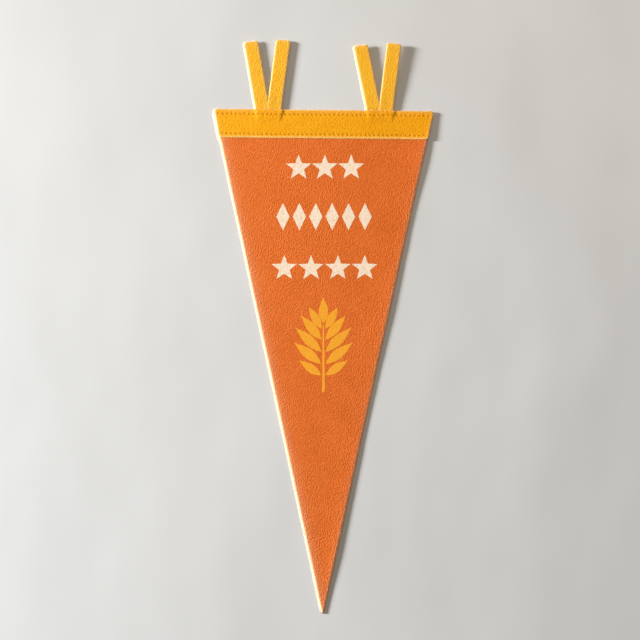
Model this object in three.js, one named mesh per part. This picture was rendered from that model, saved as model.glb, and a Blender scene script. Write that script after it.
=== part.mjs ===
// Felt pennant with four ties, lying face up on a flat surface.
// Millimetres. +X runs across the pennant, +Y up towards the ties, +Z off the surface.
// Each piece is drawn with x = 0 on the centre line and y = 0 at the header strip's top edge.

import * as THREE from 'three';

// Layers
const BODY_THICKNESS = 1.8;
const TRIM_THICKNESS = 1.0;
const GAP = 0.3;

// Triangle: its two sides are straight lines from the header's top edge to the tip
const LENGTH = 476.5;
const LEFT_SIDE = { top: -103.4, taper: 0.2145 };
const RIGHT_SIDE = { top: 104.1, taper: -0.2195 };
const RIGHT_HOLLOW = 0.4;
const TIP_RADIUS = 0.5;
const TOP_EDGE_DROP = 1.2;
const HEADER_ZONE = 30;

// How far the right side curls up off the surface, going down from the header's top edge
const CURL = [
  { down: 0, lift: 0.6 },
  { down: 42, lift: 0.9 },
  { down: 100, lift: 0.1 },
  { down: 185, lift: 0.5 },
  { down: 260, lift: 0.0 },
  { down: 300, lift: 0.0 },
  { down: 350, lift: 0.3 },
  { down: 420, lift: 0.6 },
  { down: 470, lift: 0.0 },
];
const CURL_REACH = 30;
const CURL_SHARE = 0.6;

// Header strip, cut a little out of square
const HEADER = {
  topLeft: { x: -103.4, y: 1.0 },
  topRight: { x: 104.1, y: -1.4 },
  bottomLeft: { x: -98.7, y: -25.2 },
  bottomRight: { x: 98.8, y: -27.2 },
};

// Ties: x where each one leaves the header, lean to the right in degrees, free length, climb of
// its end above its root, and how far its right corner is cut past square. The first tie of a
// pair lies on the triangle and the second one lies over it.
const TIE_WIDTH = 12.5;
const TIE_ROOT = 8;
const TIE_PAIRS = [
  [
    { name: 'tie_left_outer', x: -57.7, lean: -9.8, length: 66.0, climb: 0.2, skew: -0.2 },
    { name: 'tie_left_inner', x: -47.1, lean: 7.8, length: 67.0, climb: 0.2, skew: 0.8 },
  ],
  [
    { name: 'tie_right_inner', x: 47.8, lean: -11.5, length: 62.5, climb: 1.1, skew: -0.6 },
    { name: 'tie_right_outer', x: 59.3, lean: 7.1, length: 63.2, climb: 2.4, skew: 0.4 },
  ],
];

// Cloth that lies over a tie stays level this far past its edge, then falls: in a soft slope on
// the left and between two ties, and in a short steep one at the right of a pair
const LEVEL_MARGIN = 1.6;
const LEFT_SLOPE = 4.5;
const INNER_SLOPE = 5.0;
const RIGHT_SLOPE = 2.5;

// Grid steps of each piece
const BODY_GRID = { columns: 12, rows: 40, capAngles: [40, 75] };
const COLUMN_CROWDING = 1.5;
const TIE_GRID = { columns: 10, rows: 18 };
const HEADER_GRID = { rows: 22, bumpStep: 1.3, flatStep: 8, bumpMargin: 7.5 };

const ORANGE_FELT = { color: 0xe57233, roughness: 0.95, metalness: 0 };
const YELLOW_FELT = { color: 0xf9aa20, roughness: 0.95, metalness: 0 };

const { clamp, degToRad, lerp, smoothstep } = THREE.MathUtils;

// Height of the curl at one place down the right side, eased between the table's rows.
function curlLift(down) {
  const row = CURL.findIndex((entry) => entry.down >= down);
  if (row === 0) return CURL[0].lift;
  if (row < 0) return CURL.at(-1).lift;
  const [above, below] = [CURL[row - 1], CURL[row]];
  return lerp(above.lift, below.lift, smoothstep(down, above.down, below.down));
}

// The triangle's left and right sides at one distance down from the header's top edge.
function bodySides(down) {
  const hollow = RIGHT_HOLLOW * Math.sin((Math.PI * clamp(down, 0, LENGTH)) / LENGTH);
  return {
    left: LEFT_SIDE.top + LEFT_SIDE.taper * down,
    right: RIGHT_SIDE.top + RIGHT_SIDE.taper * down - hollow,
  };
}

// Underside of the triangle: flat on the surface, curling up towards its right side.
function bodyUnderside(x, y) {
  const down = clamp(-y, 0, LENGTH);
  const { left, right } = bodySides(down);
  const reach = Math.min(CURL_REACH, CURL_SHARE * (right - left) + TIP_RADIUS);
  const inward = clamp(1 - (right - x) / reach, 0, 1);
  return curlLift(down) * inward ** 2;
}

function bodyTop(x, y) {
  return bodyUnderside(x, y) + BODY_THICKNESS;
}

// The header's top edge: the height of its slanting line at one x.
function headerTopEdge(x) {
  const { topLeft, topRight } = HEADER;
  return lerp(topLeft.y, topRight.y, (x - topLeft.x) / (topRight.x - topLeft.x));
}

// Turns a place on a tie, along its length and across it, into x and y.
function tiePlace(tie, along, across) {
  const lean = degToRad(tie.lean);
  return {
    x: tie.x + along * Math.sin(lean) + across * Math.cos(lean),
    y: along * Math.cos(lean) - across * Math.sin(lean),
  };
}

// How much a tie lifts cloth that lies over it, at one place.
function tieLift(tie, rightSlope, x, y) {
  const lean = degToRad(tie.lean);
  const along = (x - tie.x) * Math.sin(lean) + y * Math.cos(lean);
  const across = (x - tie.x) * Math.cos(lean) - y * Math.sin(lean);
  const beside = Math.max(0, Math.abs(across) - TIE_WIDTH / 2);
  const beyond = Math.max(0, -TIE_ROOT - along);
  const outside = Math.hypot(beside, beyond);
  const slope = lerp(LEFT_SLOPE, rightSlope, smoothstep(across, -TIE_WIDTH / 2, TIE_WIDTH / 2));
  const fall = smoothstep(outside, LEVEL_MARGIN, LEVEL_MARGIN + slope);
  return (TRIM_THICKNESS + GAP) * (1 - fall);
}

// Underside of a tie, which lies on the triangle or, with a lower tie given, over that one.
function tieUnderside(tie, lower, x, y, along) {
  const carried = lower ? tieLift(lower, INNER_SLOPE, x, y) : 0;
  const climb = (tie.climb * Math.max(0, along)) / tie.length;
  return bodyTop(x, y) + GAP + carried + climb;
}

function headerUnderside(x, y) {
  let height = bodyTop(x, y) + GAP;
  for (const [lower, upper] of TIE_PAIRS) {
    height += tieLift(lower, INNER_SLOPE, x, y) + tieLift(upper, RIGHT_SLOPE, x, y);
  }
  return height;
}

// A closed sheet of cloth from a grid of places. Columns run to the right and rows run down, and
// placeAt gives the x, y and underside of each crossing.
function clothSheet(columns, rows, thickness, placeAt) {
  const across = columns + 1;
  const underside = [];
  const top = [];
  for (let row = 0; row <= rows; row += 1) {
    for (let column = 0; column <= columns; column += 1) {
      const { x, y, z } = placeAt(column, row);
      underside.push(x, y, z);
      top.push(x, y, z + thickness);
    }
  }

  const layer = across * (rows + 1);
  const faces = [];
  for (let row = 0; row < rows; row += 1) {
    for (let column = 0; column < columns; column += 1) {
      const a = row * across + column;
      const b = a + 1;
      const c = b + across;
      const d = a + across;
      faces.push(a, d, c, a, c, b);
      faces.push(a + layer, c + layer, d + layer, a + layer, b + layer, c + layer);
    }
  }

  const rim = rimOf(columns, rows);
  rim.forEach((start, index) => {
    const end = rim[(index + 1) % rim.length];
    faces.push(start, start + layer, end + layer, start, end + layer, end);
  });

  const geometry = new THREE.BufferGeometry();
  geometry.setAttribute('position', new THREE.Float32BufferAttribute([...top, ...underside], 3));
  geometry.setIndex(faces);
  geometry.computeVertexNormals();
  return geometry;
}

// The grid's outer crossings, once round: down the left, along the bottom, up the right and back.
function rimOf(columns, rows) {
  const at = (column, row) => row * (columns + 1) + column;
  const rim = [];
  for (let row = 0; row < rows; row += 1) rim.push(at(0, row));
  for (let column = 0; column < columns; column += 1) rim.push(at(column, rows));
  for (let row = rows; row > 0; row -= 1) rim.push(at(columns, row));
  for (let column = columns; column > 0; column -= 1) rim.push(at(column, 0));
  return rim;
}

// Rows of the triangle from its top edge to the tip, each with the half width that the round tip
// leaves there.
function bodyRows() {
  const capStart = LENGTH - TIP_RADIUS;
  const rows = [];
  for (let row = 0; row <= BODY_GRID.rows; row += 1) {
    rows.push({ down: lerp(TOP_EDGE_DROP, capStart, row / BODY_GRID.rows), width: 1 });
  }
  for (const degrees of BODY_GRID.capAngles) {
    const angle = degToRad(degrees);
    rows.push({ down: capStart + TIP_RADIUS * Math.sin(angle), width: Math.cos(angle) });
  }
  return rows;
}

function bodyGeometry() {
  const rows = bodyRows();
  const placeAt = (column, row) => {
    const { down, width } = rows[row];
    const { left, right } = bodySides(down);
    const middle = (left + right) / 2;
    const share = 1 - (1 - column / BODY_GRID.columns) ** COLUMN_CROWDING;
    const x = middle + (lerp(left, right, share) - middle) * width;
    const y = headerTopEdge(x) * clamp(1 - down / HEADER_ZONE, 0, 1) - down;
    return { x, y, z: bodyUnderside(x, y) };
  };
  return clothSheet(BODY_GRID.columns, rows.length - 1, BODY_THICKNESS, placeAt);
}

function tieGeometry(tie, lower) {
  const { columns, rows } = TIE_GRID;
  const placeAt = (column, row) => {
    const share = row / rows;
    const side = column / columns - 0.5;
    const cut = tie.skew * side * (1 - share) ** 2;
    const along = lerp(tie.length, -TIE_ROOT, share) + cut;
    const { x, y } = tiePlace(tie, along, side * TIE_WIDTH);
    return { x, y, z: tieUnderside(tie, lower, x, y, along) };
  };
  return clothSheet(columns, rows, TRIM_THICKNESS, placeAt);
}

// Column places along the header, close together over the ties and wide apart between them.
function headerColumns() {
  const { bumpStep, flatStep, bumpMargin } = HEADER_GRID;
  const reach = TIE_WIDTH / 2 + bumpMargin;
  const [start, end] = [HEADER.topLeft.x, HEADER.topRight.x];
  const columns = [0];
  for (let x = start; x < end; ) {
    const overTie = TIE_PAIRS.flat().some((tie) => Math.abs(x - tie.x) < reach);
    x += overTie ? bumpStep : flatStep;
    columns.push(clamp((x - start) / (end - start), 0, 1));
  }
  return columns;
}

function headerGeometry() {
  const { topLeft, topRight, bottomLeft, bottomRight } = HEADER;
  const columns = headerColumns();
  const placeAt = (column, row) => {
    const across = columns[column];
    const down = row / HEADER_GRID.rows;
    const x = lerp(lerp(topLeft.x, topRight.x, across), lerp(bottomLeft.x, bottomRight.x, across), down);
    const y = lerp(lerp(topLeft.y, topRight.y, across), lerp(bottomLeft.y, bottomRight.y, across), down);
    return { x, y, z: headerUnderside(x, y) };
  };
  return clothSheet(columns.length - 1, HEADER_GRID.rows, TRIM_THICKNESS, placeAt);
}

function feltMesh(name, geometry, felt) {
  const mesh = new THREE.Mesh(geometry, new THREE.MeshStandardMaterial(felt));
  mesh.name = name;
  return mesh;
}

// Pieces in their drawing frame, then moved so that the origin is under the middle of the whole.
const pieces = new THREE.Group();
pieces.add(feltMesh('pennant_body', bodyGeometry(), ORANGE_FELT));
pieces.add(feltMesh('header_strip', headerGeometry(), YELLOW_FELT));
for (const [lower, upper] of TIE_PAIRS) {
  pieces.add(feltMesh(lower.name, tieGeometry(lower, null), YELLOW_FELT));
  pieces.add(feltMesh(upper.name, tieGeometry(upper, lower), YELLOW_FELT));
}
const box = new THREE.Box3().setFromObject(pieces, true);
const centre = box.getCenter(new THREE.Vector3());
pieces.position.set(-centre.x, -centre.y, -box.min.z);

const pennant = new THREE.Group();
pennant.add(pieces);
pennant.updateMatrixWorld(true);

export default pennant;
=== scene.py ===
"""Felt pennant with four ties, lying face up: the looks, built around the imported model.

Sizes are in millimetres in the pennant's own drawing, where x = 0 is its centre line and y = 0 is
the header strip's top edge. A mesh is moved to the model's frame, in metres, when it is made.
"""

import math

import bpy
import numpy as np
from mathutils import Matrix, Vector, geometry


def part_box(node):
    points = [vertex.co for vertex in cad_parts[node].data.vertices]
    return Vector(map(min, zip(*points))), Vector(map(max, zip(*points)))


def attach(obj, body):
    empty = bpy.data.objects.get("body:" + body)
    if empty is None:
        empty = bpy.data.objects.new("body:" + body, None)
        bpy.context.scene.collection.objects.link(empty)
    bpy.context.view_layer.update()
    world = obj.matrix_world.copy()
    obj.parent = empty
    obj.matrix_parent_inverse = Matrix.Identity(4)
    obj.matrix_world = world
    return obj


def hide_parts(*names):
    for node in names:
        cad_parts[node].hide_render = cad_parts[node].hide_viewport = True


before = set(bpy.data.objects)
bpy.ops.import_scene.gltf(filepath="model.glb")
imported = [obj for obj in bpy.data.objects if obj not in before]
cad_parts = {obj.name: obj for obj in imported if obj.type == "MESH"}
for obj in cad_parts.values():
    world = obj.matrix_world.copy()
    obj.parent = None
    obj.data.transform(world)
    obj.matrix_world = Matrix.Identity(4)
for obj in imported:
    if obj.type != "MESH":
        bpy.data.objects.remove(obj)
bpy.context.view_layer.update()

MM = 0.001

# Triangle: its sides taper to a rounded tip, and the right one is a little hollow
BODY_THICKNESS = 1.8
LENGTH = 476.5
LEFT_TOP, LEFT_TAPER = -103.4, 0.2145
RIGHT_TOP, RIGHT_TAPER = 104.1, -0.2195
RIGHT_HOLLOW = 0.4
TIP_RADIUS = 0.5
# Rows round the tip, in degrees
TIP_ANGLES = [25, 50, 75]
# Its top edge is this far below the header's. Rows further down follow that edge's slope less
TOP_EDGE_DROP = 1.2
HEADER_ZONE = 30.0

# How far the right side curls up off the surface, at distances down from the header's top edge
CURL_DOWN = [0, 42, 100, 185, 260, 300, 350, 420, 470]
CURL_LIFT = [0.15, 1.0, 0.3, 0.7, 0.2, 0.2, 0.5, 0.8, 0.2]
# The curl reaches this far in from the side, or this share of the width where the felt is narrow
CURL_REACH, CURL_SHARE = 30.0, 0.6
# How far the top is worn down along the right side, and how soon that fades
SHOULDER, SHOULDER_REACH = 0.12, 2.0
# Broad soft waves and small clumps of fibre in pressed felt: the height and size of each
LUMPS = [(0.07, 19.0), (0.015, 4.2)]

# Header strip: its thickness and its corners
HEADER_THICKNESS = 0.75
TOP_LEFT, TOP_RIGHT = (-103.4, 1.0), (104.1, -1.4)
BOTTOM_LEFT, BOTTOM_RIGHT = (-98.7, -25.2), (98.8, -27.2)

# Ties, in pairs: the first of a pair lies on the triangle and the second one over it
TIE_THICKNESS = 1.0
TIE_WIDTH = 12.5
TIE_ROOT = 8.0
TIE_PAIRS = [
    [
        dict(node="tie_left_outer", x=-57.7, lean=-9.8, length=66.0, climb=0.2, skew=-0.2, seed=400),
        dict(node="tie_left_inner", x=-47.1, lean=7.8, length=67.0, climb=0.2, skew=0.8, seed=405),
    ],
    [
        dict(node="tie_right_inner", x=47.8, lean=-11.5, length=62.5, climb=1.1, skew=-0.6, seed=410),
        dict(node="tie_right_outer", x=59.3, lean=7.1, length=63.2, climb=2.4, skew=0.4, seed=415),
    ],
]

# The model keeps a gap between layers; the felt shown here fills most of it
LAYER_GAP = 0.06

# Under the header the ties' roots are squeezed, and in each pair the lower tie lifts the upper one
SQUEEZED, SQUEEZE_ALONG = 0.35, (-1.5, 3.0)
CARRY, CARRY_SLOPE = 0.25, 9.0
# The header rises over a pair: gently on its left side, with this share of that flank outside the
# tie, steeply on its right side, past the tie's own edge, and less and less further down
HEADER_RISE = 0.76
LEFT_FLANK, INNER_FLANK, RIGHT_FLANK = 5.2, 6.0, 2.9
FLANK_OUTSIDE = 0.6
RIGHT_PAST = 1.2
ROOT_FADE_FROM, ROOT_FADE_TO = 2.0, 13.0

# Sewing: two rows of straight stitches along the header
STITCH_PITCH = 4.25
UPPER_STITCH_INSET, LOWER_STITCH_INSET = 4.2, 3.0
STITCH_END_MARGIN = 3.0
THREAD_RADIUS = 0.24
# How unsteady the needle holes are, along their row and across it
HOLE_WANDER = (0.12, 0.10)
# Oval pits at the holes, turned, and a shallow trough along each row
PIT_LONG, PIT_SHORT, PIT_DEPTH = 1.3, 0.8, 0.26
PIT_TURN = math.radians(-38)
PIT_REACH = 3.0
SEAM_WIDTH, SEAM_DEPTH = 1.3, 0.16

# Where the model's frame puts the drawing's zero
TIP_Y = -(LENGTH - TIP_RADIUS + TIP_RADIUS * math.sin(math.radians(TIP_ANGLES[-1])))
SHIFT_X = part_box("header_strip")[0][0] / MM - TOP_LEFT[0]
SHIFT_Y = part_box("pennant_body")[0][1] / MM - TIP_Y


# Small helpers for arrays

def smoothstep(value, low, high):
    share = np.clip((value - low) / (high - low), 0.0, 1.0)
    return share * share * (3.0 - 2.0 * share)


def mix(a, b, share):
    return a + (b - a) * share


def blobs(x, y, size, seed):
    """Smooth noise from -1 to 1 in blobs about size millimetres across, the same on every run."""
    cells = 256
    table = np.random.default_rng(seed).uniform(-1.0, 1.0, (cells, cells))
    u, v = x / size, y / size
    i, j = np.floor(u).astype(int), np.floor(v).astype(int)
    a, b = smoothstep(u - i, 0.0, 1.0), smoothstep(v - j, 0.0, 1.0)
    near = mix(table[i % cells, j % cells], table[(i + 1) % cells, j % cells], a)
    far = mix(table[i % cells, (j + 1) % cells], table[(i + 1) % cells, (j + 1) % cells], a)
    return mix(near, far, b)


def uneven(waves, x, y, seed):
    """Smooth noise added up from waves, each with its own depth and size."""
    return sum(depth * blobs(x, y, size, seed + n) for n, (depth, size) in enumerate(waves))


def nowhere(x, y):
    return np.zeros_like(x)


def everywhere(x, y):
    return np.ones_like(x)


# Forms of the cloth, as in the model

def curl_lift(down):
    row = np.clip(np.searchsorted(CURL_DOWN, down) - 1, 0, len(CURL_DOWN) - 2)
    places, lifts = np.array(CURL_DOWN), np.array(CURL_LIFT)
    return mix(lifts[row], lifts[row + 1], smoothstep(down, places[row], places[row + 1]))


def body_sides(down):
    hollow = RIGHT_HOLLOW * np.sin(math.pi * np.clip(down, 0.0, LENGTH) / LENGTH)
    return LEFT_TOP + LEFT_TAPER * down, RIGHT_TOP + RIGHT_TAPER * down - hollow


def body_underside(x, y):
    down = np.clip(-y, 0.0, LENGTH)
    left, right = body_sides(down)
    reach = np.minimum(CURL_REACH, CURL_SHARE * (right - left) + TIP_RADIUS)
    inward = np.clip(1.0 - (right - x) / reach, 0.0, 1.0)
    return curl_lift(down) * inward ** 2


def right_shoulder(x, y):
    inside_edge = np.maximum(body_sides(-y)[1] - x, 0.0)
    return SHOULDER * np.exp(-inside_edge / SHOULDER_REACH)


def body_top(x, y):
    return body_underside(x, y) + BODY_THICKNESS + uneven(LUMPS, x, y, seed=11) - right_shoulder(x, y)


def header_top_edge(x):
    return mix(TOP_LEFT[1], TOP_RIGHT[1], (x - TOP_LEFT[0]) / (TOP_RIGHT[0] - TOP_LEFT[0]))


def in_tie(tie, x, y):
    """Distances along a tie from the header's top edge, and across it from its middle."""
    lean = math.radians(tie["lean"])
    along = (x - tie["x"]) * math.sin(lean) + y * math.cos(lean)
    across = (x - tie["x"]) * math.cos(lean) - y * math.sin(lean)
    return along, across


def carried_by(tie, x, y):
    """How much a tie lifts the other tie of its pair, which lies over it."""
    across = in_tie(tie, x, y)[1]
    return CARRY * (1.0 - smoothstep(across, TIE_WIDTH / 2, TIE_WIDTH / 2 + CARRY_SLOPE))


def tie_underside(tie, lower, x, y):
    along = in_tie(tie, x, y)[0]
    carried = carried_by(lower, x, y) if lower else 0.0
    climb = tie["climb"] * np.maximum(0.0, along) / tie["length"]
    return body_underside(x, y) + BODY_THICKNESS + LAYER_GAP + carried + climb


def root_shape(tie, left_flank, right_flank, right_past, x, y):
    """A tie's shape seen through the header over it, from 0 to 1."""
    along, across = in_tie(tie, x, y)
    beside = across + TIE_WIDTH / 2
    left = smoothstep(beside, -FLANK_OUTSIDE * left_flank, (1 - FLANK_OUTSIDE) * left_flank)
    edge = right_past * (1.0 - smoothstep(-along, 0.0, TIE_ROOT))
    right = 1.0 - smoothstep(beside - TIE_WIDTH - edge, 0.0, right_flank)
    return left * right * (1.0 - smoothstep(-along, ROOT_FADE_FROM, ROOT_FADE_TO))


def over_ties(x, y):
    """Where the header lies over a pair of ties, from 0 to 1."""
    bare = np.ones_like(x)
    for lower, upper in TIE_PAIRS:
        bare = bare * (1.0 - root_shape(lower, LEFT_FLANK, INNER_FLANK, 0.0, x, y))
        bare = bare * (1.0 - root_shape(upper, INNER_FLANK, RIGHT_FLANK, RIGHT_PAST, x, y))
    return 1.0 - bare


def header_underside(x, y):
    flat = body_underside(x, y) + BODY_THICKNESS + LAYER_GAP
    return flat + HEADER_RISE * over_ties(x, y)


# Sewing lines on the header

def header_line(inset_from_top):
    """A line along the header, this far below its top edge: its two ends."""
    share = inset_from_top / (TOP_LEFT[1] - BOTTOM_LEFT[1])
    return mix(np.array([TOP_LEFT, TOP_RIGHT]), np.array([BOTTOM_LEFT, BOTTOM_RIGHT]), share)


def needle_holes(inset_from_top, seed):
    """Places where the needle went through, from left to right, a little unsteady."""
    start, end = header_line(inset_from_top)
    run = np.linalg.norm(end - start)
    count = int((run - 2 * STITCH_END_MARGIN) / STITCH_PITCH) + 1
    random = np.random.default_rng(seed)
    margin = (run - (count - 1) * STITCH_PITCH) / 2
    wander_along, wander_across = HOLE_WANDER
    steps = margin + STITCH_PITCH * np.arange(count) + random.normal(0, wander_along, count)
    holes = start + (end - start) * (steps / run)[:, None]
    holes[:, 1] += random.normal(0, wander_across, count)
    return holes


UPPER_HOLES = needle_holes(UPPER_STITCH_INSET, seed=21)
LOWER_HOLES = needle_holes(TOP_LEFT[1] - BOTTOM_LEFT[1] - LOWER_STITCH_INSET, seed=22)


def pit_shape(x, y):
    """How deep the nearest needle pit is, from 0 to 1."""
    depth = np.zeros_like(x)
    for hole_x, hole_y in np.vstack([UPPER_HOLES, LOWER_HOLES]):
        near = (np.abs(x - hole_x) < PIT_REACH) & (np.abs(y - hole_y) < PIT_REACH)
        dx, dy = x[near] - hole_x, y[near] - hole_y
        long = (dx * math.cos(PIT_TURN) + dy * math.sin(PIT_TURN)) / PIT_LONG
        short = (dy * math.cos(PIT_TURN) - dx * math.sin(PIT_TURN)) / PIT_SHORT
        depth[near] = np.maximum(depth[near], np.exp(-(long ** 2 + short ** 2)))
    return depth


def seam_trough(x, y):
    """How deep the trough along the nearest seam is, from 0 to 1."""
    trough = np.zeros_like(x)
    for holes in (UPPER_HOLES, LOWER_HOLES):
        row = np.interp(x, holes[:, 0], holes[:, 1])
        trough = np.maximum(trough, np.exp(-((y - row) / SEAM_WIDTH) ** 2))
    return trough


def header_top(x, y):
    plain = header_underside(x, y) + HEADER_THICKNESS + uneven(LUMPS, x, y, seed=31)
    return plain - SEAM_DEPTH * seam_trough(x, y) - PIT_DEPTH * pit_shape(x, y)


# Meshes

def to_model(points):
    """Moves points from the drawing, in millimetres, to the model's frame, in metres."""
    moved = np.array(points, float)
    moved[:, 0] += SHIFT_X
    moved[:, 1] += SHIFT_Y
    return moved * MM


def add_object(name, data):
    thing = bpy.data.objects.new(name, data)
    bpy.context.scene.collection.objects.link(thing)
    return thing


def make_object(name, points, faces, material, values=None, sharp_sides=False):
    """A smooth mesh object. Values are named numbers for each point, which materials read.

    With sharp_sides, the edges of its four-cornered faces stay sharp.
    """
    mesh = bpy.data.meshes.new(name)
    mesh.from_pydata(to_model(points).tolist(), [], faces)
    mesh.shade_smooth()
    if sharp_sides:
        sharp = {key for face in mesh.polygons if len(face.vertices) == 4 for key in face.edge_keys}
        mesh.edges.foreach_set("use_edge_sharp", [edge.key in sharp for edge in mesh.edges])
    for key, numbers in (values or {}).items():
        attribute = mesh.attributes.new(key, "FLOAT", "POINT")
        attribute.data.foreach_set("value", np.asarray(numbers, np.float32))
    mesh.materials.append(material)
    return add_object(name, mesh)


# A cut edge: how far each ring stands out past the outline, how high it is between the underside
# and the top, and how pale it is, on the sides that face the light and on the shaded ones. The
# paleness is the felt's pale core plus a painted glow on lit sides, whose outer rings lie low past
# the outline; shaded sides get less of it, as painted shade
RIM_COLUMNS = ("out", "level", "pale", "shaded_out", "shaded_level", "shaded_pale")
BODY_RIM = [
    (-1.50, 1.00, 0.20, -1.50, 1.00, 0.05),
    (-0.95, 1.00, 0.27, -0.95, 1.00, 0.11),
    (-0.50, 0.98, 0.34, -0.45, 0.97, 0.25),
    (-0.15, 0.93, 0.42, 0.05, 0.90, 0.46),
    (0.12, 0.80, 0.48, 0.42, 0.77, 0.60),
    (0.34, 0.58, 0.52, 0.76, 0.56, 0.62),
    (0.58, 0.34, 0.60, 1.02, 0.34, 0.46),
    (0.84, 0.14, 0.74, 1.22, 0.15, 0.28),
    (1.40, 0.06, 0.94, 1.30, 0.08, 0.24),
    (2.20, 0.02, 1.00, 1.34, 0.03, 0.20),
    (2.00, 0.00, 0.80, 1.15, 0.00, 0.20),
    (-1.50, 0.00, 0.00, -1.50, 0.00, 0.00),
]
TRIM_RIM = [
    (-1.60, 1.00, 0.10, -1.60, 1.00, 0.04),
    (-1.10, 1.00, 0.16, -1.10, 1.00, 0.08),
    (-0.60, 0.98, 0.26, -0.60, 0.98, 0.16),
    (-0.20, 0.92, 0.40, -0.18, 0.93, 0.25),
    (0.08, 0.78, 0.54, 0.16, 0.82, 0.33),
    (0.28, 0.55, 0.72, 0.42, 0.60, 0.38),
    (0.48, 0.32, 0.88, 0.60, 0.34, 0.38),
    (0.78, 0.16, 1.00, 0.70, 0.16, 0.38),
    (1.30, 0.08, 1.00, 0.74, 0.08, 0.36),
    (1.20, 0.00, 0.80, 0.60, 0.00, 0.30),
    (-1.60, 0.00, 0.00, -1.60, 0.00, 0.00),
]
# Rings that stand out do so by this share only on edges that face away from the tip
UPPER_EDGE_SHARE = 0.45
# How fast the paleness inside the first ring fades, in millimetres
BODY_PALE_FADE, TRIM_PALE_FADE = 3.2, 1.6
# How uneven the cut is, each as a depth and a size, and how uneven each ring is by itself
CUT_WOBBLE = [(0.06, 2.3), (0.12, 24.0)]
FRAY, FRAY_SIZE = 0.06, 0.9
LEAST_RING_GAP = 0.05
# Near the tip the rings are drawn in by at most this share of the felt's width there
NARROW_SHARE = 0.7
# How far edges are turned from the light, from -1 to 1, where they are still lit and where shaded
LIT_UNTIL, SHADED_FROM = -0.75, 0.15


def rim_of(index):
    """A grid's numbers along its outline, counter-clockwise from the first corner."""
    return np.concatenate([index[:-1, 0], index[-1, :-1], index[:0:-1, -1], index[0, :0:-1]])


def outward(x, y):
    """Unit directions that point out of a counter-clockwise loop."""
    run_x, run_y = np.roll(x, -1) - np.roll(x, 1), np.roll(y, -1) - np.roll(y, 1)
    run = np.hypot(run_x, run_y)
    return run_y / run, -run_x / run


def turned_away(out_x, out_y):
    """How far sides that face these ways are turned from the light, from 0 to 1."""
    away = out_x * math.cos(KEY_TURN) - out_y * math.sin(KEY_TURN)
    return smoothstep(away, LIT_UNTIL, SHADED_FROM)


def rim_insets(x, y, row, out_y, widest):
    """How far the grid's rim is drawn in from the outline: less where the felt is narrow."""
    row_half = np.hypot(x[row, -1] - x[row, 0], y[row, -1] - y[row, 0]) / 2
    inset = np.minimum(widest, row_half * NARROW_SHARE / (1.0 - NARROW_SHARE))
    return mix(inset, widest, out_y ** 2)


def edge_rings(x, y, rim_index, underside, top, rim, paleness, flare, seed):
    """The rings between the two faces of a sheet: the points and the paleness of each."""
    row, column = np.unravel_index(rim_index, x.shape)
    rim_x, rim_y = x[row, column], y[row, column]
    out_x, out_y = outward(rim_x, rim_y)
    shaded = turned_away(out_x, out_y)
    inset = rim_insets(x, y, row, out_y, -rim[0]["out"])
    wobble = uneven(CUT_WOBBLE, rim_x, rim_y, seed)
    flaring = mix(1.0, UPPER_EDGE_SHARE, np.maximum(out_y, 0.0) ** 2) * flare(rim_x, rim_y)
    rings = []
    for number, ring in enumerate(rim[1:-1]):
        # Paleness follows the light: a painted glow on lit sides, painted shade on shaded ones
        out, level, pale = [
            mix(ring[key], ring["shaded_" + key], shaded) for key in ("out", "level", "pale")
        ]
        out = np.where(out > 0, out * flaring, out)
        fray = FRAY * blobs(rim_x, rim_y, FRAY_SIZE, seed + len(CUT_WOBBLE) + number)
        reach = np.maximum(inset + out + wobble + fray, LEAST_RING_GAP * number)
        ring_x, ring_y = rim_x + out_x * reach, rim_y + out_y * reach
        height = mix(underside(ring_x, ring_y), top(ring_x, ring_y), level)
        rings.append((np.stack([ring_x, ring_y, height], 1), pale * paleness(ring_x, ring_y)))
    return rings


def sheet_faces(index, rim_index, ring_count):
    """Faces of a sheet: its top, its underside and the walls between the rings of its edge."""
    a, b = index[:-1, :-1], index[:-1, 1:]
    c, d = index[1:, 1:], index[1:, :-1]
    face_up = np.stack([a, d, c, b], 2).reshape(-1, 4)
    count, rim_length = index.size, len(rim_index)
    starts = [2 * count + number * rim_length for number in range(ring_count)]
    rings = [rim_index, *(start + np.arange(rim_length) for start in starts), rim_index + count]
    walls = [
        np.stack([upper, lower, np.roll(lower, -1), np.roll(upper, -1)], 1)
        for upper, lower in zip(rings, rings[1:])
    ]
    return np.vstack([face_up, face_up[:, ::-1] + count, *walls])


def face_pale(x, y, first, fade):
    """How pale a sheet's top is inside its first ring, fading in: painted glow by lit sides, less by
    shaded.
    """
    left, right = np.hypot(x - x[:, :1], y - y[:, :1]), np.hypot(x - x[:, -1:], y - y[:, -1:])
    upper, lower = np.hypot(x - x[:1], y - y[:1]), np.hypot(x - x[-1:], y - y[-1:])
    lit = first["pale"] * np.exp(-np.minimum(left, upper) / fade)
    return np.maximum(lit, first["shaded_pale"] * np.exp(-np.minimum(right, lower) / fade))


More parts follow.
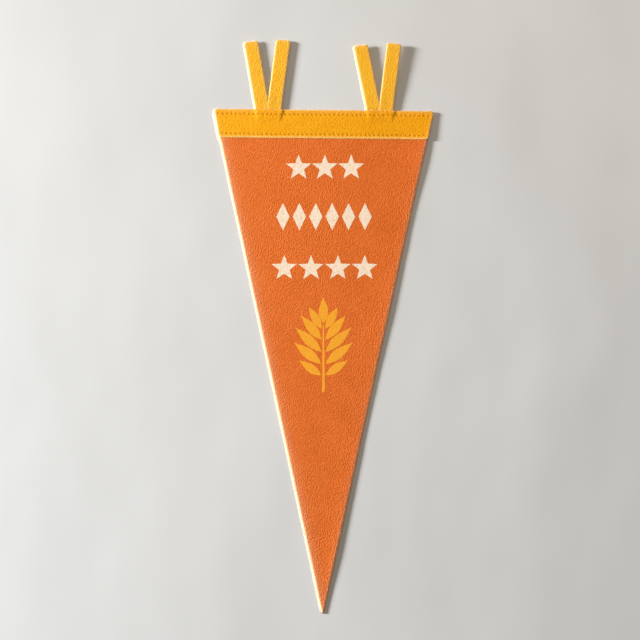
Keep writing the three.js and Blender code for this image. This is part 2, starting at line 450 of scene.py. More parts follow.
def felt_sheet(
    name, x, y, underside, top, rim, fade, material, seed,
    pressed_and_shaded=nowhere, paleness=everywhere, flare=everywhere,
):
    """A closed sheet of felt over a grid of places: two faces joined by the rings of a cut edge.

    The grid is the outline drawn in by the first ring's inset, with rows running down.
    """
    rim = [dict(zip(RIM_COLUMNS, ring)) for ring in rim]
    index = np.arange(x.size).reshape(x.shape)
    rim_index = rim_of(index)
    rings = edge_rings(x, y, rim_index, underside, top, rim, paleness, flare, seed)
    both = [np.stack([x, y, height(x, y)], 2).reshape(-1, 3) for height in (top, underside)]
    points = np.vstack([*both, *(places for places, pale in rings)])
    top_pale = (paleness(x, y) * face_pale(x, y, rim[0], fade)).ravel()
    # Per point: paleness, with its painted glow and shade, and how far needle pits darken, as
    # compressed felt and painted shade
    values = {
        "pale": np.concatenate([top_pale, np.zeros(x.size), *(pale for places, pale in rings)]),
        "pressed_and_shaded": np.concatenate([pressed_and_shaded(x, y).ravel(), np.zeros(len(points) - x.size)]),
    }
    faces = sheet_faces(index, rim_index, len(rings))
    return make_object(name, points, faces.tolist(), material, values)


# The tip is drawn out this much past the model's
TIP_REACH = 0.9


def body_grid(step, inset):
    """Places on the triangle, drawn in by inset, in rows from its top edge down to its round tip."""
    rows = round((LENGTH - TOP_EDGE_DROP) / step)
    columns = round((RIGHT_TOP - LEFT_TOP) / step)
    last = LENGTH + TIP_REACH - TIP_RADIUS - inset
    down = np.linspace(TOP_EDGE_DROP + inset, last, rows + 1)
    width = np.ones(rows + 1)
    cap = np.radians(TIP_ANGLES)
    down = np.concatenate([down, last + TIP_RADIUS * np.sin(cap)])[:, None]
    width = np.concatenate([width, np.cos(cap)])[:, None]
    left, right = body_sides(down)
    full_half = np.maximum((right - left) / 2, TIP_RADIUS)
    half = np.maximum(full_half - inset, (1.0 - NARROW_SHARE) * full_half) * width
    x = (left + right) / 2 + half * np.linspace(-1.0, 1.0, columns + 1)[None, :]
    y = header_top_edge(x) * np.clip(1.0 - down / HEADER_ZONE, 0.0, 1.0) - down
    return x, y


def strip_grid(corners, step, inset):
    """Places on a four-cornered strip, drawn in by inset. Corners run left to right, then down."""
    top_left, top_right, bottom_left, bottom_right = [np.array(corner, float) for corner in corners]
    wide = np.linalg.norm(top_right - top_left)
    tall = np.linalg.norm(bottom_left - top_left)
    across = np.linspace(inset / wide, 1 - inset / wide, round(wide / step) + 1)[None, :, None]
    down = np.linspace(inset / tall, 1 - inset / tall, round(tall / step) + 1)[:, None, None]
    grid = mix(mix(top_left, top_right, across), mix(bottom_left, bottom_right, across), down)
    return grid[..., 0], grid[..., 1]


def tie_corners(tie):
    lean = math.radians(tie["lean"])
    forward = np.array([math.sin(lean), math.cos(lean)])
    sideways = np.array([math.cos(lean), -math.sin(lean)])
    root = np.array([tie["x"], 0.0])
    half, skew = TIE_WIDTH / 2, tie["skew"] / 2
    far = [(tie["length"] - skew, -half), (tie["length"] + skew, half)]
    near = [(-TIE_ROOT, -half), (-TIE_ROOT, half)]
    return [root + forward * along + sideways * across for along, across in far + near]


# Materials

class Graph:
    """A material's node tree, with short calls that add and join nodes."""

    def __init__(self, name):
        self.material = bpy.data.materials.new(name)
        self.material.use_nodes = True
        self.tree = self.material.node_tree
        self.surface = self.tree.nodes["Principled BSDF"]
        self.place = self.add("ShaderNodeTexCoord").outputs["Object"]

    def feed(self, socket, value):
        if isinstance(value, bpy.types.NodeSocket):
            self.tree.links.new(value, socket)
        else:
            socket.default_value = value

    def add(self, kind, inputs=None, **settings):
        node = self.tree.nodes.new(kind)
        for key, value in settings.items():
            setattr(node, key, value)
        for key, value in (inputs or {}).items():
            self.feed(node.inputs[key], value)
        return node

    def math(self, operation, *values):
        node = self.add("ShaderNodeMath", operation=operation)
        for socket, value in zip(node.inputs, values):
            self.feed(socket, value)
        return node.outputs[0]

    def within(self, value):
        """The value, held between 0 and 1."""
        return self.math("MINIMUM", self.math("MAXIMUM", value, 0.0), 1.0)

    def noise(self, size, detail=2.0, roughness=0.5, distortion=0.0, kind="FBM", place=None):
        """Noise whose features are about size millimetres across."""
        inputs = {
            "Vector": place or self.place,
            "Scale": 1.0 / (size * MM),
            "Detail": detail,
            "Roughness": roughness,
            "Distortion": distortion,
        }
        return self.add("ShaderNodeTexNoise", inputs, noise_type=kind).outputs["Fac"]

    def stretched(self, turn, stretch):
        """Object coordinates in which a noise is longer along a direction turned from +Y."""
        inputs = {"Vector": self.place, "Rotation": (0.0, 0.0, turn), "Scale": (1.0, stretch, 1.0)}
        return self.add("ShaderNodeMapping", inputs, vector_type="TEXTURE").outputs["Vector"]

    def number(self, name):
        return self.add("ShaderNodeAttribute", attribute_name=name).outputs["Fac"]

    def ramp(self, value, stops):
        """Colours along a value: stops are (place, colour) pairs."""
        node = self.add("ShaderNodeValToRGB", {"Fac": value})
        elements = node.color_ramp.elements
        for element, (place, colour) in zip(elements, (stops[0], stops[-1])):
            element.position = place
            element.color = (*colour, 1.0)
        for place, colour in stops[1:-1]:
            elements.new(place).color = (*colour, 1.0)
        return node.outputs["Color"]

    def blend(self, share, first, second):
        node = self.add("ShaderNodeMix", data_type="RGBA")
        colours = [socket for socket in node.inputs if socket.type == "RGBA"]
        self.feed(node.inputs["Factor"], share)
        for socket, value in zip(colours, (first, second)):
            self.feed(socket, value if isinstance(value, bpy.types.NodeSocket) else (*value, 1.0))
        return next(socket for socket in node.outputs if socket.type == "RGBA")

    def bump(self, height, depth, normal=None):
        """A bump of this depth in millimetres."""
        inputs = {"Height": height, "Strength": 1.0, "Distance": depth * MM}
        if normal:
            inputs["Normal"] = normal
        return self.add("ShaderNodeBump", inputs).outputs["Normal"]

    def finish(self, inputs):
        """Sets or joins inputs of the surface."""
        for key, value in inputs.items():
            self.feed(self.surface.inputs[key], value)
        return self.material


# Felt: its noises, each with a size in millimetres, detail, roughness and distortion. The grain is
# longer along a direction turned to the left from the pennant's length
GRAIN_NOISE, GRAIN_TURN, GRAIN_STRETCH = (0.88, 1.5, 0.5), math.radians(30), 1.8
BROAD_NOISE, CLUMP_NOISE, SPECKLE_NOISE = (26.0, 2.0), (2.6, 3.0, 0.55), (1.0, 1.0, 0.5)
MAT_NOISE, STRAND_NOISE = (0.9, 4.0, 0.65, 1.8), (1.5, 5.0, 0.6, 2.4)
# The dye's tone: how much broad, clumps, mat and speckle count, its level, and its deep to light stops
TONE_WEIGHTS = (0.18, 0.18, 0.40, 0.60)
TONE_LEVEL = -0.03
TONE_STOPS = (0.42, 0.65, 0.88)
CLUMP_DEPTH, MAT_DEPTH, STRAND_DEPTH = 0.08, 0.20, 0.10
# Pale edges: how ragged they are, how fast they turn to the core's colour, and when to the colour of a
# painted glow
RAGGED = 1.6
CORE_GAIN = 1.7
PAINTED_GLOW_GAIN, PAINTED_GLOW_OFFSET = 2.5, -1.5
# How far needle pits turn to their dark colour: compressed felt and painted shade in the hollows
PIT_SHARE = 0.9


def tint(colour, factor):
    return tuple(min(1.0, channel * factor) for channel in colour)


def felt_colour(graph, mat, clumps, dye, deep, light, core, painted_glow, pit, shade_to_right):
    """The dye with its unevenness, darker to the right as painted shade, and darker in needle pits as
    compressed felt and painted shade. It is pale where the felt is cut and lightest in a painted glow
    on lit cut edges.
    """
    across = graph.add("ShaderNodeSeparateXYZ", {"Vector": graph.place}).outputs["X"]
    # Painted shade: the colour darkens towards the right, away from the key lamp
    tone = graph.math("MULTIPLY_ADD", across, -shade_to_right, TONE_LEVEL)
    noises = (graph.noise(*BROAD_NOISE), clumps, mat, graph.noise(*SPECKLE_NOISE))
    for noise, weight in zip(noises, TONE_WEIGHTS):
        tone = graph.math("MULTIPLY_ADD", noise, weight, tone)
    colour = graph.ramp(tone, list(zip(TONE_STOPS, (deep, dye, light))))
    # Darker in needle pits: compressed felt and painted shade in the hollows
    colour = graph.blend(graph.math("MULTIPLY", graph.number("pressed_and_shaded"), PIT_SHARE), colour, pit)
    # The noise only breaks up the pale edge: it adds nothing where there is none
    ragged = graph.math("MULTIPLY_ADD", graph.math("SUBTRACT", mat, 0.5), RAGGED, 1.0)
    share = graph.math("MULTIPLY", graph.number("pale"), ragged)
    colour = graph.blend(graph.within(graph.math("MULTIPLY", share, CORE_GAIN)), colour, core)
    # Painted glow: the palest edges, mostly the lit ones, turn to its colour
    glowing = graph.math("MULTIPLY_ADD", share, PAINTED_GLOW_GAIN, PAINTED_GLOW_OFFSET)
    return graph.blend(graph.within(glowing), colour, painted_glow)


def felt_material(name, light, grain_depth, **colours):
    """Pressed felt: side-lit grain, clumps and matted fibres.

    The colour gets darker towards the right-hand side, away from the key lamp, by a set amount
    for each metre: painted shade.
    """
    graph = Graph(name)
    clumps, mat = graph.noise(*CLUMP_NOISE), graph.noise(*MAT_NOISE)
    grain = graph.noise(*GRAIN_NOISE, place=graph.stretched(GRAIN_TURN, GRAIN_STRETCH))
    strands = graph.noise(*STRAND_NOISE, kind="RIDGED_MULTIFRACTAL")
    pebbled = graph.bump(grain, grain_depth, graph.bump(clumps, CLUMP_DEPTH))
    return graph.finish({
        "Base Color": felt_colour(graph, mat, clumps, light=light, **colours),
        "Normal": graph.bump(strands, STRAND_DEPTH, graph.bump(mat, MAT_DEPTH, pebbled)),
        "Roughness": 0.95,
        "Specular IOR Level": 0.06,
        "Sheen Weight": 0.04,
        "Sheen Roughness": 0.5,
        "Sheen Tint": (*light, 1.0),
    })


def fuzz_material(name, pale, dyed):
    """Loose fibres at a cut edge, some of them dyed."""
    graph = Graph(name)
    patches = graph.noise(size=1.2)
    return graph.finish({
        "Base Color": graph.ramp(patches, [(0.38, dyed), (0.5, pale)]),
        "Roughness": 0.8,
        "Specular IOR Level": 0.2,
    })


def ink_material(name, ink, worn):
    """Thin matte ink over felt, sunk and thinner where the felt's fibres part."""
    graph = Graph(name)
    clumps = graph.noise(size=2.2, detail=3.0, roughness=0.6)
    mat = graph.noise(size=0.7, detail=4.0, roughness=0.65, distortion=1.5)
    tone = graph.math("MULTIPLY_ADD", clumps, 0.5, graph.math("MULTIPLY", mat, 0.5))
    return graph.finish({
        "Base Color": graph.ramp(tone, [(0.36, worn), (0.47, ink), (0.75, tint(ink, factor=1.06))]),
        "Normal": graph.bump(mat, 0.12, graph.bump(clumps, 0.30)),
        "Roughness": 0.85,
        "Specular IOR Level": 0.2,
    })


def thread_material(name, colour, deep):
    graph = Graph(name)
    strands = graph.noise(size=0.25, detail=3.0, roughness=0.6)
    return graph.finish({
        "Base Color": graph.ramp(strands, [(0.3, deep), (0.7, colour)]),
        "Normal": graph.bump(strands, depth=0.04),
        "Roughness": 0.85,
        "Specular IOR Level": 0.15,
    })


# The pale surface: its colour, how much darker and lighter it gets, and its long soft waves
FLOOR_COLOUR = (0.619, 0.618, 0.610)
FLOOR_TINTS = (0.975, 1.025)
WAVE_SIZE, WAVE_STRETCH, WAVE_DEPTH = 150.0, 1.7, 2.6


def floor_material():
    graph = Graph("pale_surface")
    broad = graph.noise(size=140.0)
    fine = graph.noise(size=1.8, detail=4.0, roughness=0.6)
    tone = graph.math("MULTIPLY_ADD", broad, 0.7, graph.math("MULTIPLY", fine, 0.3))
    low, high = [tint(FLOOR_COLOUR, factor) for factor in FLOOR_TINTS]
    waves = graph.noise(WAVE_SIZE, roughness=0.45, place=graph.stretched(0.0, WAVE_STRETCH))
    return graph.finish({
        "Base Color": graph.ramp(tone, [(0.3, low), (0.7, high)]),
        "Normal": graph.bump(fine, 0.02, graph.bump(waves, WAVE_DEPTH)),
        "Roughness": 0.75,
        "Specular IOR Level": 0.15,
    })


# The felts' colours, with the depth of their grain in millimetres, how much painted shade darkens
# them for each metre to the right, the dark of needle pits (compressed felt and painted shade) and
# the colour of a painted glow on lit cut edges
ORANGE = dict(
    dye=(0.73, 0.155, 0.026), deep=(0.57, 0.108, 0.015), light=(0.86, 0.215, 0.050),
    core=(0.93, 0.47, 0.26), painted_glow=(0.95, 0.80, 0.62), pit=(0.30, 0.06, 0.006),
    grain_depth=1.12, shade_to_right=0.45,
)
YELLOW = dict(
    dye=(0.87, 0.365, 0.009), deep=(0.76, 0.270, 0.003), light=(0.95, 0.44, 0.018),
    core=(0.96, 0.575, 0.18), painted_glow=(0.96, 0.89, 0.62), pit=(0.68, 0.285, 0.001),
    grain_depth=0.66, shade_to_right=0.75,
)
TIE_YELLOW = dict(
    YELLOW, dye=(0.89, 0.440, 0.024), deep=(0.79, 0.355, 0.015), light=(0.95, 0.51, 0.040),
    shade_to_right=0.15,
)

orange_felt = felt_material("orange_felt", **ORANGE)
yellow_felt = felt_material("yellow_felt", **YELLOW)
tie_felt = felt_material("tie_felt", **TIE_YELLOW)
orange_fuzz = fuzz_material("orange_fuzz", pale=(0.96, 0.91, 0.82), dyed=ORANGE["core"])
yellow_fuzz = fuzz_material("yellow_fuzz", pale=(0.97, 0.94, 0.78), dyed=YELLOW["core"])
thread = thread_material("sewing_thread", colour=(0.90, 0.39, 0.008), deep=(0.78, 0.29, 0.003))
cream_ink = ink_material("cream_print", ink=(0.86, 0.70, 0.54), worn=(0.80, 0.42, 0.18))
yellow_ink = ink_material("yellow_print", ink=(0.85, 0.36, 0.022), worn=(0.78, 0.26, 0.03))


# Felt pieces

# How far apart the places of their grids are
BODY_STEP = 1.6
HEADER_STEP = 0.45
TIE_STEP = 0.6
# The triangle's left edge is spread out by this much more under the header and just below it
HEADER_FLARE = 0.7
FLARE_FADE = (24.0, 32.0)


def triangle_flare(x, y):
    return 1.0 + HEADER_FLARE * (1.0 - smoothstep(-y, *FLARE_FADE)) * (x < 0)


def build_triangle():
    x, y = body_grid(BODY_STEP, -BODY_RIM[0][0])
    piece = felt_sheet(
        "felt_triangle", x, y, body_underside, body_top, BODY_RIM, BODY_PALE_FADE, orange_felt,
        seed=41, flare=triangle_flare,
    )
    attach(piece, "root")
    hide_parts("pennant_body")
    return piece


# The header's lower edge is paler: partly its pale core, partly painted light on an edge turned
# away from the key lamp. How much more, how far in and how wide
LOWER_MORE, LOWER_IN, LOWER_WIDE = 1.5, 0.7, 0.8
# Its top edge gets less of that paleness and its painted glow, and least over the ties: how much
# less, and how far down
UPPER_LESS, UPPER_REACH = 0.25, 4.0
COVER_LESS, COVER_REACH = 0.9, 6.0


def header_paleness(x, y):
    share = (x - TOP_LEFT[0]) / (TOP_RIGHT[0] - TOP_LEFT[0])
    from_top = header_top_edge(x) - y
    from_bottom = y - mix(BOTTOM_LEFT[1], BOTTOM_RIGHT[1], share)
    lower = np.exp(-((from_bottom - LOWER_IN) / LOWER_WIDE) ** 2)
    covering = over_ties(x, y) * (1.0 - smoothstep(from_top, 0.0, COVER_REACH))
    upper = 1.0 - smoothstep(from_top, 0.0, UPPER_REACH)
    return (1.0 + LOWER_MORE * lower) * (1.0 - UPPER_LESS * upper) * (1.0 - COVER_LESS * covering)


def build_header():
    corners = [TOP_LEFT, TOP_RIGHT, BOTTOM_LEFT, BOTTOM_RIGHT]
    x, y = strip_grid(corners, HEADER_STEP, -TRIM_RIM[0][0])
    piece = felt_sheet(
        "felt_header", x, y, header_underside, header_top, TRIM_RIM, TRIM_PALE_FADE, yellow_felt,
        seed=51, pressed_and_shaded=pit_shape, paleness=header_paleness,
    )
    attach(piece, "root")
    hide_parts("header_strip")
    return piece


# How pale a tie's shaded edge is, and the lit edge of a tie that lies over another one, where it
# crosses it and where it is clear of it: its painted glow is weaker where the lower tie shades it.
# The two edges' values blend at the tie's middle
MIDDLE_BLEND = (-0.5, 0.5)
SHADED_TIE_PALE = 1.7
UPPER_TIE_PALE, UPPER_TIE_CLEAR = (0.35, 0.7), (3.0, 24.0)
UPPER_TIE_FLARE, LOWER_TIE_FLARE = 0.5, 1.5


def tie_top(tie, lower, x, y):
    squeeze = smoothstep(in_tie(tie, x, y)[0], *SQUEEZE_ALONG)
    thickness = TIE_THICKNESS * mix(SQUEEZED, 1.0, squeeze)
    return tie_underside(tie, lower, x, y) + thickness + uneven(LUMPS, x, y, seed=61)


def tie_paleness(tie, lower, x, y):
    along, across = in_tie(tie, x, y)
    lit = mix(*UPPER_TIE_PALE, smoothstep(along, *UPPER_TIE_CLEAR)) if lower else 1.0
    return mix(lit, SHADED_TIE_PALE, smoothstep(across, *MIDDLE_BLEND))


def tie_flare(tie, lower, x, y):
    """The lit edge of a lower tie is spread out more than that of a tie over another one."""
    lit = UPPER_TIE_FLARE if lower else LOWER_TIE_FLARE
    return mix(lit, 1.0, smoothstep(in_tie(tie, x, y)[1], *MIDDLE_BLEND))


def build_tie(tie, lower):
    x, y = strip_grid(tie_corners(tie), TIE_STEP, -TRIM_RIM[0][0])
    piece = felt_sheet(
        tie["node"].replace("tie", "felt_tie"), x, y,
        lambda x, y: tie_underside(tie, lower, x, y),
        lambda x, y: tie_top(tie, lower, x, y),
        TRIM_RIM, TRIM_PALE_FADE, tie_felt, seed=tie["seed"],
        paleness=lambda x, y: tie_paleness(tie, lower, x, y),
        flare=lambda x, y: tie_flare(tie, lower, x, y),
    )
    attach(piece, "root")
    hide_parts(tie["node"])
    return piece


# Loose fibres along the cut edges

FIBRES_PER_MM = 10.0
FIBRE_LENGTHS = (0.4, 3.8)
FIBRE_RADIUS = 0.026
FIBRE_SIDES = 3
# Most fibres are short: the two shapes of the spread of lengths
SHORT_SHAPE, LONG_SHAPE = 1.3, 3.0
# Their roots: how high on the cut edge, how far out at its foot and at its top, and how unsteady
ROOT_LEVELS = (0.08, 0.95)
ROOT_OUT_LOW, ROOT_OUT_HIGH = 0.40, -0.25
ROOT_WANDER = 0.3
# How unsteady their direction, their rise and their bend are, and how low they may reach
SWING = 0.9
RISE, RISE_SPREAD = 0.1, 0.35
BEND = (0.45, 0.45, 0.18)
FIBRE_LOWEST = 0.05
# Where the three points of a fibre are along it, and how thick it is at the first two
SPINE_SHARES = (0.0, 0.5, 1.0)
FIBRE_TAPER = (1.0, 0.8)
# The triangle's sides are followed in steps this long
SIDE_STEP = 4.0
# This share of them is missing on the sides turned away from the light
SHADED_LOSS = 0.85


def along_path(corners, spacing):
    """Places at even steps along an open path, with unit directions out of its right-hand side."""
    places, outs = [], []
    for start, end in zip(np.array(corners[:-1]), np.array(corners[1:])):
        run = np.linalg.norm(end - start)
        steps = np.arange(0.5, max(1.0, run / spacing)) * spacing / run
        places.append(start + (end - start) * steps[:, None])
        direction = (end - start) / run
        outs.append(np.tile([direction[1], -direction[0]], (len(steps), 1)))
    return np.vstack(places), np.vstack(outs)


def fibre_roots(random, corners, underside, thickness):
    """Places where fibres leave a cut edge, with directions out of it and along it.

    The felt lies to the left of the path through the corners.
    """
    places, outs = along_path(corners, 1.0 / FIBRES_PER_MM)
    kept = random.uniform(0, 1, len(places)) > SHADED_LOSS * turned_away(outs[:, 0], outs[:, 1])
    places, outs = places[kept], outs[kept]
    sideways = np.stack([-outs[:, 1], outs[:, 0]], 1)
    places = places + sideways * random.uniform(-ROOT_WANDER, ROOT_WANDER, (len(places), 1))
    level = random.uniform(*ROOT_LEVELS, len(places))
    out = mix(ROOT_OUT_LOW, ROOT_OUT_HIGH, level)
    height = underside(places[:, 0], places[:, 1]) + thickness * level
    return np.column_stack([places + outs * out[:, None], height]), outs, sideways


def fibre_spines(random, root, outs, sideways):
    """Three points along each fibre, and a direction to its side."""
    count = len(root)
    low, high = FIBRE_LENGTHS
    length = low + (high - low) * random.beta(SHORT_SHAPE, LONG_SHAPE, count)
    swing = random.normal(0.0, SWING, count)
    lift = random.normal(RISE, RISE_SPREAD, count)
    flat = outs * np.cos(swing)[:, None] + sideways * np.sin(swing)[:, None]
    heading = np.column_stack([flat, lift])
    bend = random.normal(0.0, BEND, (count, 3))
    spine = []
    for share in SPINE_SHARES:
        point = root + (heading * share + bend * share ** 2) * length[:, None]
        point[:, 2] = np.maximum(point[:, 2], FIBRE_LOWEST)
        spine.append(point)
    return spine, np.column_stack([-flat[:, 1], flat[:, 0], np.zeros(count)])


def fibre_mesh(spine, side):
    """Thin pointed tubes along the spines: their points and three-cornered faces."""
    up = np.array([0.0, 0.0, 1.0])
    points = []
    for point, share in zip(spine, FIBRE_TAPER):
        for corner in range(FIBRE_SIDES):
            angle = 2 * math.pi * corner / FIBRE_SIDES
            offset = side * math.cos(angle) + up * math.sin(angle)
            points.append(point + offset * FIBRE_RADIUS * share)
    points.append(spine[-1])
    pattern = [[2, 1, 0]]
    for first in range(FIBRE_SIDES):
        fourth = (first + 1) % FIBRE_SIDES
        second, third = FIBRE_SIDES + first, FIBRE_SIDES + fourth
        pattern.extend([[first, fourth, third], [first, third, second]])
        pattern.append([second, third, 2 * FIBRE_SIDES])
    offsets = len(points) * np.arange(len(side))[:, None, None]
    faces = (np.array(pattern)[None] + offsets).reshape(-1, 3)
    return np.stack(points, 1).reshape(-1, 3), faces.tolist()


def build_fuzz(name, corners, underside, thickness, material, seed):
    """Short fibres that stand out of a cut edge, fewer on shaded sides."""
    random = np.random.default_rng(seed)
    root, outs, sideways = fibre_roots(random, corners, underside, thickness)
    points, faces = fibre_mesh(*fibre_spines(random, root, outs, sideways))
    piece = make_object(name, points, faces, material)
    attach(piece, "root")
    return piece


def triangle_fuzz():
    down = np.arange(-BOTTOM_LEFT[1], LENGTH, SIDE_STEP)
    left, right = body_sides(down)
    tip = (sum(body_sides(LENGTH)) / 2, -LENGTH)
    corners = [*zip(left, -down), tip, *zip(right[::-1], -down[::-1])]
    return build_fuzz(
        "triangle_fuzz", corners, body_underside, BODY_THICKNESS, orange_fuzz,
        seed=301,
    )


def header_fuzz():
    corners = [BOTTOM_RIGHT, TOP_RIGHT, TOP_LEFT, BOTTOM_LEFT]
    return build_fuzz(
        "header_fuzz", corners, header_underside, HEADER_THICKNESS, yellow_fuzz,
        seed=302,
    )


def tie_fuzz(tie, lower):
    far_left, far_right, near_left, near_right = tie_corners(tie)
    share = TIE_ROOT / (TIE_ROOT + tie["length"])
    corners = [mix(near_right, far_right, share), far_right, far_left, mix(near_left, far_left, share)]
    name = tie["node"].replace("tie", "fuzz_tie")
    return build_fuzz(
        name, corners, lambda x, y: tie_underside(tie, lower, x, y), TIE_THICKNESS,
        yellow_fuzz, seed=tie["seed"] + 1,
    )


# Sewing thread

# A stitch slants, arches up between its two holes and dips into them, but not more than its drop
# below its highest place, and it is thinner at its ends
STITCH_SLANT = (0.0, 0.28)
STITCH_ARCH, STITCH_DIP, STITCH_DIP_SHARE = 0.20, 0.55, 0.22
STITCH_DROP = 0.9
STITCH_END_RADIUS = 0.8
# Its thread has two plies: how many turns they make along it and how far they stand out
PLY_TURNS, PLY_DEPTH = 1.1, 0.18


def tube_faces(sides, rings):
    """Faces of a tube that is closed at both ends."""
    index = np.arange((rings + 1) * sides).reshape(rings + 1, sides)
    following = np.roll(index, -1, 1)
    walls = np.stack([index[:-1], index[1:], following[1:], following[:-1]], 2).reshape(-1, 4)
    return walls.tolist() + [index[0].tolist(), index[-1, ::-1].tolist()]


def stitch_tube(start, end, sides=8, rings=12):
    """One stitch: a thread that comes up out of one needle hole and goes down into the next."""
    a, b = start + STITCH_SLANT, end - STITCH_SLANT
    share = np.linspace(0.0, 1.0, rings + 1)
    arch = np.sin(math.pi * share)
    place = a + (b - a) * share[:, None]
    dip = 1.0 - smoothstep(np.minimum(share, 1 - share), 0.0, STITCH_DIP_SHARE)
    height = header_top(place[:, 0], place[:, 1]) + STITCH_ARCH * arch - STITCH_DIP * dip
    height = np.maximum(height, height.max() - STITCH_DROP)
    radius = THREAD_RADIUS * mix(STITCH_END_RADIUS, 1.0, arch)
    direction = (b - a) / np.linalg.norm(b - a)
    side = np.array([-direction[1], direction[0]])
    angle = 2 * math.pi * np.arange(sides) / sides
    twist = 2 * math.pi * PLY_TURNS * share[:, None]
    reach = radius[:, None] * (1.0 + PLY_DEPTH * np.cos(2 * (angle - twist)))
    flat = place[:, None] + side * np.cos(angle)[:, None] * reach[..., None]
    points = np.dstack([flat, height[:, None] + np.sin(angle) * reach]).reshape(-1, 3)
    return points.tolist(), tube_faces(sides, rings)


def join_parts(parts):
    """Joins lists of points and faces into one."""
    points, faces = [], []
    for more_points, more_faces in parts:
        offset = len(points)
        points.extend(more_points)
        faces.extend([[offset + corner for corner in face] for face in more_faces])
    return points, faces


def build_stitches(name, holes):
    points, faces = join_parts([stitch_tube(a, b) for a, b in zip(holes, holes[1:])])
    piece = make_object(name, points, faces, thread)
    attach(piece, "root")
    return piece


# Print: thin films of ink on the triangle

INK_TOP, INK_BOTTOM = 0.07, -0.10
INK_EDGE_STEP, INK_FILL_STEP = 0.55, 1.3
# Places inside are in rows this share of a step apart, and this share of a step clear of the edge
FILL_ROW_SHARE, FILL_CLEAR_SHARE = 0.87, 0.6
# How ragged the ink's edge is, and how long its waves are
INK_WANDER, INK_WANDER_SIZE = 0.13, 0.8
# Powers that put a leaf's widest place nearer its foot and make its ends pointed
LEAF_BELLY, LEAF_POINT = 0.85, 1.15


def star(x, y, radius=12.7, waist=0.42, points=5):
    """Corners of a star with one point up."""
    corners = []
    for corner in range(2 * points):
        reach = radius if corner % 2 == 0 else radius * waist
        angle = math.pi / 2 + math.pi * corner / points
        corners.append((x + reach * math.cos(angle), y + reach * math.sin(angle)))
    return corners


def lozenge(x, y, width=12.6, height=26.0):
    return [(x + width / 2, y), (x, y + height / 2), (x - width / 2, y), (x, y - height / 2)]


def leaf(x, y, length, width, turn, steps=14):
    """A pointed leaf that starts at x, y and grows in the direction turn, in degrees."""
    angle = math.radians(turn)
    share = np.linspace(0.0, 1.0, steps + 1)
    swell = width / 2 * np.sin(math.pi * share ** LEAF_BELLY) ** LEAF_POINT
    side = np.concatenate([-swell, swell[-2:0:-1]])
    along = length * np.concatenate([share, share[-2:0:-1]])
    return [
        (x + a * math.cos(angle) - s * math.sin(angle), y + a * math.sin(angle) + s * math.cos(angle))
        for a, s in zip(along, side)
    ]


def rough_outline(corners, seed):
    """An outline with short steps and slightly ragged edges, as ink leaves on felt."""
    corners = np.array(corners, float)
    points = []
    for start, end in zip(corners, np.roll(corners, -1, 0)):
        steps = max(1, round(np.linalg.norm(end - start) / INK_EDGE_STEP))
        points.extend(start + (end - start) * step / steps for step in range(steps))
    points = np.array(points)
    wander = INK_WANDER * blobs(points[:, 0], points[:, 1], INK_WANDER_SIZE, seed)
    return points + np.stack(outward(*points.T), 1) * wander[:, None]


def fill_places(outline):
    """Evenly spread places that an outline goes round."""
    low, high = outline.min(0), outline.max(0)
    places = []
    for row, y in enumerate(np.arange(low[1], high[1], INK_FILL_STEP * FILL_ROW_SHARE)):
        for x in np.arange(low[0] + (row % 2) * INK_FILL_STEP / 2, high[0], INK_FILL_STEP):
            spokes = outline[:, 0] - x + 1j * (outline[:, 1] - y)
            turned = np.angle(np.roll(spokes, -1) * spokes.conj()).sum()
            if turned > math.pi and np.abs(spokes).min() > FILL_CLEAR_SHARE * INK_FILL_STEP:
                places.append((x, y))
    return places


def ink_film(corners, seed):
    """A closed film of ink that follows the felt under it: its points and faces."""
    outline = rough_outline(corners, seed)
    rim = len(outline)
    flat = [Vector(place) for place in outline.tolist() + fill_places(outline)]
    edges = [(corner, (corner + 1) % rim) for corner in range(rim)]
    keep_inside, tiny = 1, 1e-5
    result = geometry.delaunay_2d_cdt(flat, edges, [list(range(rim))], keep_inside, tiny)
    places, triangles = np.array([tuple(v) for v in result[0]]), [list(t) for t in result[2]]
    count = len(places)
    felt = body_top(*places.T)
    points = np.vstack([np.column_stack([places, felt + level]) for level in (INK_TOP, INK_BOTTOM)])
    faces = triangles + [[corner + count for corner in reversed(triangle)] for triangle in triangles]
    sides = [side for corners in triangles for side in zip(corners, corners[1:] + corners[:1])]
    known = set(sides)
    faces += [[b, a, a + count, b + count] for a, b in sides if (b, a) not in known]
    return points.tolist(), faces


def build_print(name, shapes, material, seed):
    points, faces = join_parts([ink_film(shape, seed + n) for n, shape in enumerate(shapes)])
    piece = make_object(name, points, faces, material, sharp_sides=True)
    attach(piece, "root")
    return piece


# Three rows of plain motifs: the middle of each row, how many it has and how far apart
MOTIF_ROWS = [
    dict(motif=star, x=1.4, y=-54.516, count=3, pitch=25.0),
    dict(motif=lozenge, x=0.5, y=-101.0, count=6, pitch=15.6),
    dict(motif=star, x=1.0, y=-150.016, count=4, pitch=25.5),
]


def motif_shapes():
    shapes = []
    for row in MOTIF_ROWS:
        first = row["x"] - (row["count"] - 1) / 2 * row["pitch"]
        places = [first + number * row["pitch"] for number in range(row["count"])]
        shapes.extend(row["motif"](x, row["y"]) for x in places)
    return shapes


# Leaf sprig: a stem with pairs of leaves, larger in the middle, and one leaf at its end
SPRIG_X, SPRIG_FOOT, SPRIG_HEAD = 0.0, -268.0, -204.0
STEM_WIDTHS = (2.6, 1.4)
# Leaves start this far from the stem's middle
STEM_CLEAR = 1.9
LEAF_PAIRS = [
    dict(y=-252.0, length=26.0, width=8.0, turn=34),
    dict(y=-241.0, length=33.0, width=9.5, turn=38),
    dict(y=-229.5, length=34.0, width=9.5, turn=43),
    dict(y=-218.0, length=30.0, width=9.0, turn=50),
    dict(y=-207.5, length=24.0, width=8.0, turn=60),
]
END_LEAF = dict(y=-202.5, length=25.0, width=9.0)


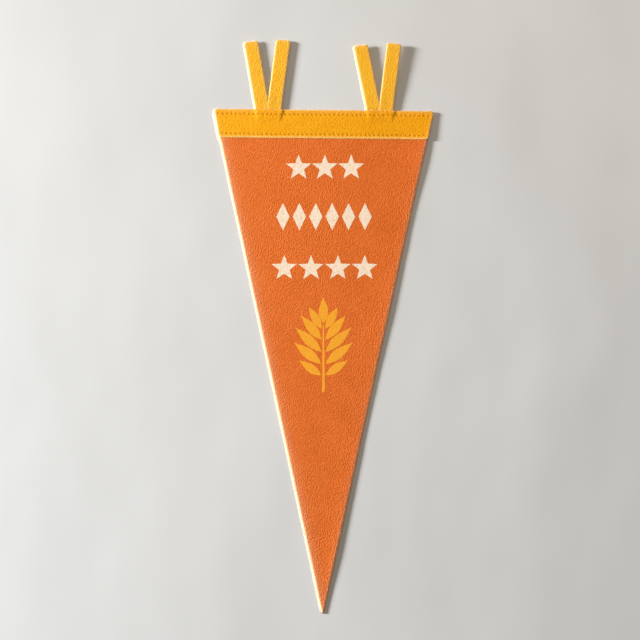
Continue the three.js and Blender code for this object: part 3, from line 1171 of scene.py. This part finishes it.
def sprig_shapes():
    foot, head = STEM_WIDTHS
    stem = [
        (SPRIG_X + foot / 2, SPRIG_FOOT),
        (SPRIG_X + head / 2, SPRIG_HEAD),
        (SPRIG_X - head / 2, SPRIG_HEAD),
        (SPRIG_X - foot / 2, SPRIG_FOOT),
    ]
    shapes = [stem, leaf(SPRIG_X, END_LEAF["y"], END_LEAF["length"], END_LEAF["width"], 90)]
    for pair in LEAF_PAIRS:
        for side in (1, -1):
            turn = pair["turn"] if side > 0 else 180 - pair["turn"]
            start = SPRIG_X + side * STEM_CLEAR
            shapes.append(leaf(start, pair["y"], pair["length"], pair["width"], turn))
    return shapes


# Floor, light and camera

FLOOR_REACH, FLOOR_LEVEL = 6000.0, -0.05


def build_floor():
    corners = [(-1, -1), (1, -1), (1, 1), (-1, 1)]
    points = [(FLOOR_REACH * x, FLOOR_REACH * y, FLOOR_LEVEL) for x, y in corners]
    floor = make_object("floor", points, [[0, 1, 2, 3]], floor_material())


# Lamps, in metres. The key lamp is low and to the left, turned a little towards the ties
KEY_DISTANCE, KEY_SIZE = 2.75, 0.52
KEY_ELEVATION, KEY_TURN = math.radians(17.0), math.radians(13)
KEY_POWER = 271.0
# It points past the pennant, beyond its tip
KEY_AIM = (0.0, -3.0, 0.0)
KEY_COLOUR = (0.885, 0.922, 0.955)
FILL_COLOUR, FILL_STRENGTH = (1.0, 0.87, 0.72), 0.236
# A large soft lamp above and beyond the ties gives nearly half of the fill, most of it there
FILL_PLACE, FILL_SIZE, FILL_POWER = (0.15, 0.75, 0.8), 1.0, 3.1


def add_lamp(name, shape, size, power, colour, place, aim=(0.0, 0.0, 0.0)):
    light = bpy.data.lights.new(name, "AREA")
    light.shape = shape
    light.size = size
    light.energy = power
    light.color = colour
    lamp = add_object(name, light)
    lamp.location = place
    lamp.rotation_euler = (lamp.location - Vector(aim)).to_track_quat("Z", "Y").to_euler()


def build_light():
    level = KEY_DISTANCE * math.cos(KEY_ELEVATION)
    key_place = (
        -level * math.cos(KEY_TURN),
        level * math.sin(KEY_TURN),
        KEY_DISTANCE * math.sin(KEY_ELEVATION),
    )
    add_lamp("key", "DISK", KEY_SIZE, KEY_POWER, KEY_COLOUR, key_place, KEY_AIM)
    add_lamp("soft", "SQUARE", FILL_SIZE, FILL_POWER, FILL_COLOUR, FILL_PLACE)

    world = bpy.data.worlds.new("fill")
    world.use_nodes = True
    background = world.node_tree.nodes["Background"]
    background.inputs["Color"].default_value = (*FILL_COLOUR, 1.0)
    background.inputs["Strength"].default_value = FILL_STRENGTH
    bpy.context.scene.world = world


# The camera looks straight down. At the height of its plane its view is this many millimetres wide
VIEW_WIDTH = 608.0
VIEW_CENTRE = (-3.3, -199.3)
VIEW_PLANE = 2.5
LENS, SENSOR = 70.0, 36.0


def build_camera():
    camera = bpy.data.cameras.new("camera")
    camera.lens = LENS
    camera.sensor_width = SENSOR
    holder = add_object("camera", camera)
    height = VIEW_WIDTH * LENS / SENSOR + VIEW_PLANE
    holder.location = to_model([(*VIEW_CENTRE, height)])[0]
    bpy.context.scene.camera = holder


build_camera()
build_light()
build_floor()

triangle = build_triangle()
header = build_header()
triangle_edge, header_edge = triangle_fuzz(), header_fuzz()
upper_stitches = build_stitches("upper_stitches", UPPER_HOLES)
lower_stitches = build_stitches("lower_stitches", LOWER_HOLES)
cream_print = build_print("cream_print", motif_shapes(), cream_ink, 100)
yellow_print = build_print("yellow_print", sprig_shapes(), yellow_ink, 200)

# Each tie, with the loose fibres along its cut edges
for lower, upper in TIE_PAIRS:
    for tie, under in ((lower, None), (upper, lower)):
        piece, edge = build_tie(tie, under), tie_fuzz(tie, under)

bpy.context.scene.view_settings.view_transform = "Standard"
